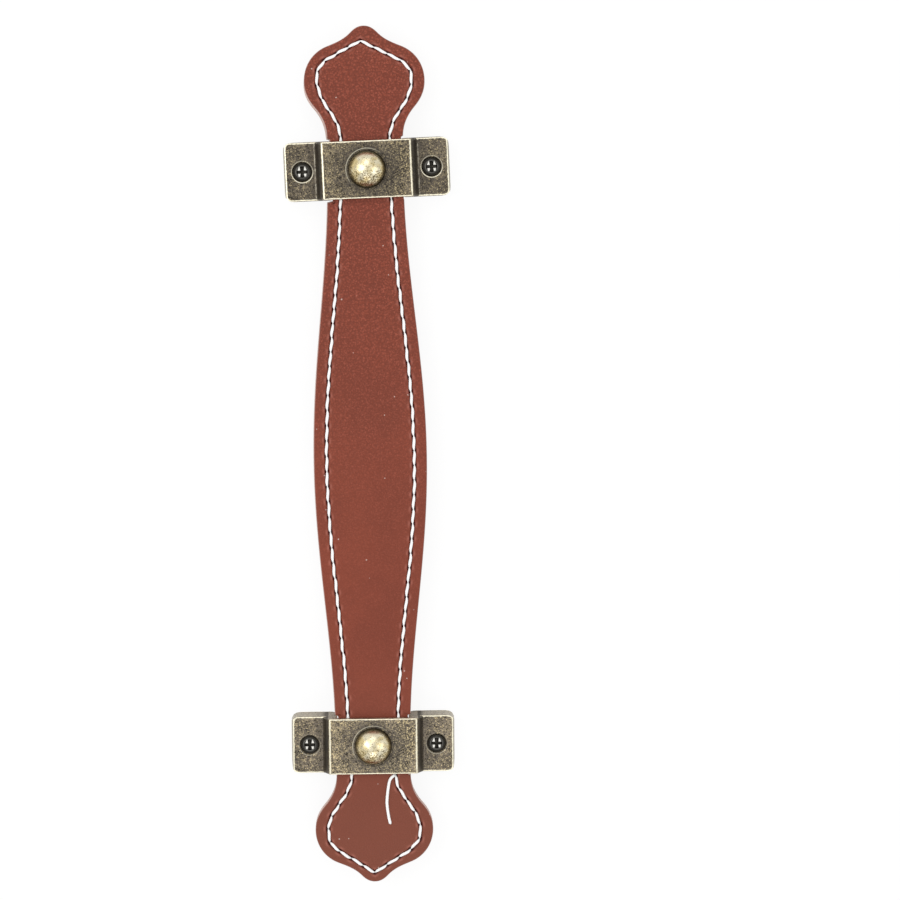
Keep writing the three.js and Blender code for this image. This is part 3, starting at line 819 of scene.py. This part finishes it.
def brass_finish(name, place, tone, rub, fold_rub):
    """Dark speckled brass: tone scales its colours, set per bracket as a painted reflection; rub scales the
    screw rings, rubbed and with a painted highlight, and fold_rub the wear at the folds.
    """
    brass = Finish(name, Metallic=1.0)
    mix, ease, times, plus = brass.mix, brass.ease, brass.times, brass.plus
    minus, scaled, larger, smaller = brass.minus, brass.scaled, brass.larger, brass.smaller
    local = brass.place((place["x"], place["y"], 0), place["turn"])
    part = brass.node("SeparateXYZ", Vector=local)
    x = brass.math("ABSOLUTE", part.outputs["X"])
    y = brass.math("ABSOLUTE", part.outputs["Y"])
    z = part.outputs["Z"]
    bend_x = BRACKET["plate_half"] + BRACKET["step"]
    on_plate = brass.math("LESS_THAN", x, bend_x - BRACKET["step"] / 2)

    def choose(plate_value, flange_value):
        return scaled(on_plate, plate_value - flange_value, flange_value)

    def longer(first, second):
        squares = [brass.math("POWER", larger(value, 0.0), 2.0) for value in (first, second)]
        return brass.math("SQRT", plus(*squares))

    top = choose(BRACKET["height"], BRACKET["flange_top"])
    end_lean = choose(0.0, -BRACKET["end_lean"] / BRACKET["flange_top"])
    end = scaled(z, end_lean, choose(BRACKET["plate_half"], BRACKET["half_length"]))
    corner = choose(BRACKET["plate_corner"], BRACKET["flange_corner"])
    side = scaled(z, -BRACKET["lean"] / BRACKET["height"], BRACKET["half_depth"])
    past_x = plus(minus(x, end), corner)
    past_y = plus(minus(y, side), corner)
    inside = smaller(larger(past_x, past_y), 0.0)
    outline = minus(minus(corner, longer(past_x, past_y)), inside)
    off_plan = larger(outline, 0.0)
    off_z = smaller(brass.math("ABSOLUTE", minus(top, z)), brass.math("ABSOLUTE", z))
    to_edge = larger(off_plan, times(off_z, 1.5))

    def from_centre(centre_x):
        across = minus(x, centre_x)
        return brass.math("SQRT", plus(times(across, across), times(y, y)))

    def line_at(distance, where, half_width):
        off = brass.math("ABSOLUTE", minus(distance, where))
        return ease(off, half_width, 0.3 * half_width)

    to_dome = from_centre(0.0)
    to_screw = from_centre(BRACKET["screw_x"])
    fine = brass.noise(local, 2.7, 3.0, 0.85)
    speckle = brass.noise(local, 1.0, 4.0, 0.8)
    pits = brass.noise(local, 2.3, 3.0, 0.75)
    patch = brass.noise(local, 0.16, 2.0)
    scratch = brass.noise(local, 1.3, 3.0, 0.65)

    # Tones, from the dark casting to the rubbed metal
    dark, middle = toned(srgb(84, 78, 71), tone), toned(srgb(114, 105, 93), tone)
    gold = toned(srgb(206, 188, 146), tone)
    black, bright = srgb(44, 41, 37), srgb(252, 245, 220)
    colour = mix(ease(patch, 0.35, 0.68), dark, middle)
    # Painted shade round the foot of the dome and on the flange beside the fold
    beside_dome = times(ease(to_dome, 10.0, 6.0), 0.45)
    beside_fold = ease(x, bend_x + 4.0, bend_x + 0.3)
    beside_fold = times(beside_fold, minus(1.0, on_plate))
    dome_and_fold_shade = larger(beside_dome, times(beside_fold, 0.6))
    colour = mix(dome_and_fold_shade, colour, dark)
    grain = scaled(speckle, 0.35, times(fine, 0.65))
    outward = times(ease(to_dome, 6.0, 12.5), 0.03)
    shown = plus(grain, times(outward, on_plate))
    dots = ease(brass.pebbles(local, 2.1, 0.0), 0.46, 0.20)
    dots = times(dots, ease(shown, 0.42, 0.56))
    rubbed = times(ease(shown, 0.50, 0.60), 0.42)
    rubbed = larger(dots, rubbed)
    amount = times(rubbed, minus(choose(1.0, 0.88), dome_and_fold_shade))
    colour = mix(amount, colour, gold)
    wall = times(ease(off_z, 0.4, 0.8), ease(off_plan, 0.5, 0.25))
    pitted = times(ease(pits, 0.48, 0.40), scaled(wall, -0.5, 0.85))
    colour = mix(pitted, colour, black)

    # The walls are greyer, the hollow inside is dull, and the step walls get a painted shade
    colour = mix(times(wall, ease(fine, 0.30, 0.58)), colour, srgb(210, 203, 188))
    below = minus(top, z)
    within = times(ease(off_plan, 0.6, 0.9), ease(below, 0.7, 1.0))
    hollow = mix(ease(grain, 0.48, 0.68), srgb(80, 73, 66), srgb(112, 102, 86))
    colour = mix(within, colour, hollow)
    step_wall_shade = times(ease(x, BRACKET["plate_half"] + 0.15, BRACKET["plate_half"] + 0.45),
                         ease(x, bend_x + 0.35, bend_x - 0.9))
    colour = mix(times(step_wall_shade, 0.85), colour, mix(fine, black, srgb(98, 92, 84)))

    # A cloth rubs the edges bright and the fold a little. The rim round each screw is rubbed and
    # gets a painted highlight, stronger on its lower side; the rim of the sunk ring round the dome
    # gets a painted highlight on its upper left.
    worn = plus(to_edge, times(minus(scratch, 0.5), 0.55))
    worn = ease(worn, 0.44, 0.24)
    on_rim = ease(z, 0.35, 0.1)
    rim_inside = times(line_at(off_plan, BRACKET["rim_line"], 0.3), on_rim)
    worn = larger(worn, rim_inside)
    # painted highlight: each screw ring is brighter on its lower side
    lower = scaled(ease(part.outputs["Y"], 2.0, -2.5), 0.65, 0.35)
    ring = times(line_at(to_screw, BRACKET["screw_ring"], 0.17), times(lower, rub))
    ring = times(ring, ease(below, 0.7, 0.4))
    # painted highlight on the upper left of the sunk ring round the dome
    upper_left = ease(minus(part.outputs["Y"], part.outputs["X"]), -1.0, 6.0)
    recess_highlight = times(line_at(to_dome, BRACKET["recess_radius"] + 0.05, 0.2), upper_left)
    fold = times(line_at(x, bend_x + 0.12, 0.26), ease(scratch, 0.40, 0.62))
    worn = larger(worn, times(fold, fold_rub))
    worn = larger(worn, larger(ring, times(recess_highlight, 0.45)))
    colour = mix(worn, colour, bright)

    rough = scaled(fine, 0.3, 0.32)
    height = plus(times(fine, 0.7), times(patch, 0.3))
    brass.bump(height, 0.5, 0.08)
    return brass.finish(colour, rough)


# The lower bracket is toned lighter, a painted reflection, and its screw rings get less painted highlight
brass_of = {
    "top": brass_finish("antique_brass_top", BRACKETS["top"], 1.12, 1.0, 0.26),
    "bottom": brass_finish("antique_brass_bottom", BRACKETS["bottom"], 1.62, 0.3, 0.0),
}
for end in BRACKETS:
    for slot_of_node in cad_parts[f"{end}_bracket"].material_slots:
        slot_of_node.material = brass_of[end]

# %% [markdown]
# ## Domed studs
#
# The dome and its hollow post are turned in one piece, so the shape is a profile of
# radius and height carried round an axis. The post is bored from behind for the
# mounting screw.

# %% Turn the studs
def rubbed_brass(name, place, crest):
    """Polished dome: bright gold with dark pits, more of them on its lower half as a painted shade, and a
    painted shade over its foot.
    """
    brass = Finish(name, Metallic=1.0)
    local = brass.place((place["x"], place["y"], 0))
    part = brass.node("SeparateXYZ", Vector=local)
    speckle = brass.noise(local, 2.6, 3.0, 0.8)
    patch = brass.noise(local, 0.4, 2.0)
    colour = brass.mix(brass.ease(patch, 0.35, 0.65), srgb(234, 214, 160), srgb(254, 245, 214))
    # painted shade: more dark pits on the lower half of the dome
    lower_half_shade = brass.times(brass.ease(part.outputs["Y"], -3.0, 1.5), 0.11)
    pitted = brass.ease(brass.plus(speckle, lower_half_shade), 0.56, 0.46)
    colour = brass.mix(brass.times(pitted, 0.9), colour, srgb(104, 82, 42))
    # painted shade: the dome darkens down its steep sides towards the foot
    down = brass.minus(crest, brass.scaled(speckle, 1.6, part.outputs["Z"]))
    colour = brass.mix(brass.times(brass.ease(down, 0.9, 3.0), 0.92), colour, srgb(88, 80, 60))
    brass.bump(speckle, 0.4, 0.07)
    return brass.finish(colour, brass.scaled(speckle, 0.25, 0.17))


TURNS = 96


def turned_piece(name, profile, place, material, replaces, reshape=None, start=0.0, closed=False):
    """A profile of (radius, height) carried round an upright axis at place.

    The profile ends on the axis or, when closed, joins its own start. reshape may
    change the heights as a whole array, given radius, height and angle, and paints the points.
    """
    profile = np.array(profile, float)
    angle = np.linspace(0, 2 * np.pi, TURNS, endpoint=False)
    radius = np.repeat(profile[:, :1], TURNS, axis=1)
    height = np.repeat(profile[:, 1:], TURNS, axis=1)
    turn = np.broadcast_to(angle, radius.shape)
    paint = None
    if reshape:
        height, paint = reshape(radius, height, turn)
    turn = turn + start
    points = np.dstack([place[0] + radius * np.cos(turn), place[1] + radius * np.sin(turn), height])
    faces = quads(len(profile), TURNS, round_columns=True, round_rows=closed)
    return make_piece(name, points, faces, material, replaces, paint)


def arc(centre, radius, start, end, count):
    """Points on an arc in the plane of radius and height; angles in degrees."""
    angle = np.radians(np.linspace(start, end, count))
    return list(zip(centre[0] + radius * np.cos(angle), centre[1] + radius * np.sin(angle)))


def dome_profile(low, high, base):
    """From the blind bore's roof, down inside the post, up outside it and over the dome."""
    post, bore, roof = 2.5, 1.9, base + 0.4
    half = BRACKET["dome_radius"]
    rise = high - base
    ball = (half ** 2 + rise ** 2) / (2 * rise)
    widest = math.degrees(math.asin(half / ball))
    cap = arc((0, high - ball), ball, 90 - widest, 90, 26)
    inside = [(0, roof), (bore, roof - 0.6), (bore, roof - 3), (bore, low + 1.2), (bore, low + 0.3)]
    foot = [(bore + 0.12, low), (post - 0.12, low), (post, low + 0.15)]
    return [*inside, *foot, (post, base - 0.2), (post, base), (half - 0.1, base), *cap[:-1], (0, high)]


for end, place in BRACKETS.items():
    low, high = node_box(f"{end}_dome_stud")
    base = BRACKET["height"] - BRACKET["recess_depth"]
    turned_piece(f"{end}_dome", dome_profile(low[2], high[2], base), (place["x"], place["y"]),
                 rubbed_brass(f"rubbed_brass_{end}", place, high[2]), (f"{end}_dome_stud",))

# %% [markdown]
# ## Screws and back rings
#
# A screw's head is turned as well, and its cross is a dent in the turned face: where a
# point lies inside one of two slots, it sinks. The fine rings near the middle give the slots
# their walls. The lands between the slots get a painted highlight, larger on the upper
# lands, and so does the point behind.
#
# The ring behind the strap is a toothed washer. Its teeth are a wave round the ring on
# the face that looks away from the leather.

# %% Turn the screws and the rings
SCREW = {"head": 2.45, "shank": 1.5, "slot_half": 0.33, "cross_half": 1.5, "depth": 0.8}
LAND_START = 0.40
UPPER_LAND_HIGHLIGHT = {"reach": 1.62, "inner": (0.34, 0.20), "outer": (1.50, -0.42)}
LOWER_LAND_HIGHLIGHT = {"reach": 1.32, "inner": (0.30, 0.22), "outer": (1.30, -0.16)}
RING = {"inner": 2.6, "outer": 3.8, "teeth": 22, "tooth": 0.16}


def blackened(name, base, rub_and_highlight_colour):
    """Dark metal with fine specks, bright where the attribute rubbed says so: rubbed metal, and the painted
    highlights of the screws.
    """
    steel = Finish(name, Metallic=1.0)
    place = steel.place()
    fine = steel.noise(place, 5.0, 3.0, 0.7)
    colour = steel.mix(steel.ease(fine, 0.45, 0.7), base, toned(base, 2.2))
    colour = steel.mix(steel.attribute("rubbed"), colour, rub_and_highlight_colour)
    steel.bump(fine, 0.3, 0.04)
    return steel.finish(colour, steel.scaled(fine, 0.2, 0.30))


black_steel = blackened("black_steel", srgb(46, 44, 40), srgb(255, 253, 244))
dark_brass = blackened("dark_brass", srgb(92, 84, 68), srgb(222, 206, 164))


def land_between(x, y, reach, inner, outer):
    """1 on a wedge up to y = reach, between the lines x = offset + slope times y."""
    sides = ramp(x - inner[0] - inner[1] * y, 0.12) * ramp(outer[0] + outer[1] * y - x, 0.16)
    return sides * ramp(y - LAND_START, 0.12) * ramp(reach - y, 0.18)


def crossed(radius, height, turn):
    """Sinks the cross into a screw's face and paints a highlight on the lands between its arms and on its
    point.
    """
    x, y = np.abs(radius * np.cos(turn)), np.abs(radius * np.sin(turn))
    across, along = np.minimum(x, y), np.maximum(x, y)
    face = height.max()
    on_face = height > face - 0.2
    slot = ramp(SCREW["slot_half"] + 0.07 - across, 0.14)
    slot = slot * ramp(SCREW["cross_half"] - along, 0.25)
    depth = SCREW["depth"] * (1 - 0.45 * along / SCREW["cross_half"])
    up = radius * np.sin(turn)
    # painted highlight on the lands, larger on the upper ones
    land_highlight = np.where(up > 0, land_between(x, y, **UPPER_LAND_HIGHLIGHT), land_between(x, y, **LOWER_LAND_HIGHLIGHT))
    rim = np.exp(-((radius - 1.70) / 0.14) ** 2) * 0.10
    # painted highlight on the screw's point
    point = (height < height.min() + 0.3) * np.exp(-((radius - 0.45) / 0.2) ** 2)
    rubbed = np.where(on_face, np.maximum(land_highlight, rim), point)
    return height - np.where(on_face, slot * depth, 0), {"rubbed": rubbed}


def screw_profile(low, high):
    """From the point up the shank and the cone, over the rim and in across the face."""
    head, shank = SCREW["head"], SCREW["shank"]
    rim = high - 0.15
    face = [(r, high - 0.07 * math.exp(-((r - 1.95) / 0.16) ** 2)) for r in np.linspace(head - 0.15, 0.06, 34)]
    tip = [(r, low + 0.5 * r * r) for r in (0, 0.2, 0.35, 0.45, 0.55, 0.7)]
    cone = rim - head + shank
    return [*tip, (0.85, low + 0.5), (shank, low + 0.7), (shank, cone - 0.1), (shank, cone),
            (head - 0.05, rim - 0.05), (head, rim), (head, high - 0.1), (head - 0.05, high), *face, (0, high)]


def toothed(radius, height, turn):
    """Teeth on the ring's outward face: a wave of so many crests round the ring."""
    low = height.min()
    across = ramp(radius - RING["inner"] - 0.25, 0.15) * ramp(RING["outer"] - 0.1 - radius, 0.15)
    wave = np.clip(1.6 * np.sin(RING["teeth"] * turn), -1, 1) * 0.5 + 0.5
    on_face = height < low + 0.02
    rubbed = np.where(on_face, (1 - wave) * across * 0.6, 0.1)
    return height + np.where(on_face, RING["tooth"] * wave * across, 0), {"rubbed": rubbed}


def ring_profile(low, high):
    inner, outer = RING["inner"], RING["outer"]
    face = [(r, low) for r in np.linspace(inner + 0.12, outer - 0.2, 9)]
    back = [(outer, low + 0.2), (outer, high - 0.05), (outer - 0.05, high)]
    return [(inner, high), (inner, low + 0.1), *face, *back]


for end, place in BRACKETS.items():
    cos, sin = math.cos(place["turn"]), math.sin(place["turn"])
    for side_name, side in (("left", -1), ("right", 1)):
        low, high = node_box(f"{end}_{side_name}_screw")
        reach = side * BRACKET["screw_x"]
        centre = (place["x"] + reach * cos, place["y"] + reach * sin)
        turned_piece(f"{end}_{side_name}_crosshead", screw_profile(low[2], high[2]), centre, black_steel,
                     (f"{end}_{side_name}_screw",), crossed, place["turn"])
    low, high = node_box(f"{end}_back_ring")
    turned_piece(f"{end}_toothed_ring", ring_profile(low[2], high[2]), (place["x"], place["y"]), dark_brass,
                 (f"{end}_back_ring",), toothed, closed=True)

# %% [markdown]
# ## The studio
#
# The photograph was lit softly from all sides, a little stronger from the left, on
# white. Four large soft lamps stand round the pull, and a pale world fills the rest. One
# lamp overhead would be simpler, but would be mirrored as one spot on each dome. The
# floor is white paper that also glows for the camera alone, so that it reads as white,
# yet still takes the soft shadow of the pull.

# %% Light the object
LAMP_SIZE = 460
LAMPS = {
    "left_lamp": ((-440, 140, 560), 1.5),
    "right_lamp": ((520, 0, 520), 0.75),
    "top_lamp": ((-60, 600, 540), 0.75),
    "bottom_lamp": ((0, -600, 540), 0.9),
}
WORLD_STRENGTH = 0.68  # what lights the pull; the camera itself sees 1

for name, (place_mm, watts) in LAMPS.items():
    lamp = bpy.data.lights.new(name, "AREA")
    lamp.size = LAMP_SIZE * MM
    lamp.energy = watts
    stand = put(name, lamp)
    stand.location = Vector(place_mm) * MM
    stand.rotation_euler = (-Vector(place_mm)).to_track_quat("-Z", "Y").to_euler()

world = bpy.data.worlds.new("studio_world")
world.use_nodes = True
tree = world.node_tree
sky = tree.nodes["Background"]
sky.inputs["Color"].default_value = (1, 1, 1, 1)
path = tree.nodes.new("ShaderNodeLightPath")
seen = tree.nodes.new("ShaderNodeMapRange")
seen.inputs["To Min"].default_value = WORLD_STRENGTH
seen.inputs["To Max"].default_value = 1.0
tree.links.new(path.outputs["Is Camera Ray"], seen.inputs["Value"])
tree.links.new(seen.outputs[0], sky.inputs["Strength"])
bpy.context.scene.world = world
bpy.context.scene.view_settings.view_transform = "Standard"

# %% [markdown]
# The floor lies a hair under the rims of the brackets, where the door would be.

# %% Lay the paper floor
FLOOR_HALF = 3000
PAPER = {"white": 0.82, "glow": 1.04, "glow_share": 0.86}


def paper_finish():
    """White paper; a camera ray sees it mixed with an even glow."""
    white = (PAPER["white"],) * 3 + (1.0,)
    paper = Finish("studio_paper", Base_Color=white, Roughness=1.0, Specular_IOR_Level=0.0)
    glow = paper.node("Emission", Strength=PAPER["glow"])
    share = paper.times(paper.node("LightPath").outputs["Is Camera Ray"], PAPER["glow_share"])
    blend = paper.node("MixShader")
    for socket, value in zip(blend.inputs, (share, paper.shader.outputs[0], glow.outputs[0])):
        paper.feed(socket, value)
    paper.feed(paper.tree.nodes["Material Output"].inputs["Surface"], blend.outputs[0])
    return paper.material


floor_mesh = bpy.data.meshes.new("paper_floor")
corners = np.array([(-1, -1, 0), (1, -1, 0), (1, 1, 0), (-1, 1, 0)]) * FLOOR_HALF + (0, 0, -0.05)
floor_mesh.from_pydata((corners * MM).tolist(), [], [(0, 1, 2, 3)])
floor_mesh.materials.append(paper_finish())
put("paper_floor", floor_mesh)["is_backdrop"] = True

# %% [markdown]
# ## The dressed size
#
# The bounds of all shown pieces, the floor left out, are taken at the end.

# %% Take the bounds
low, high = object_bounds()
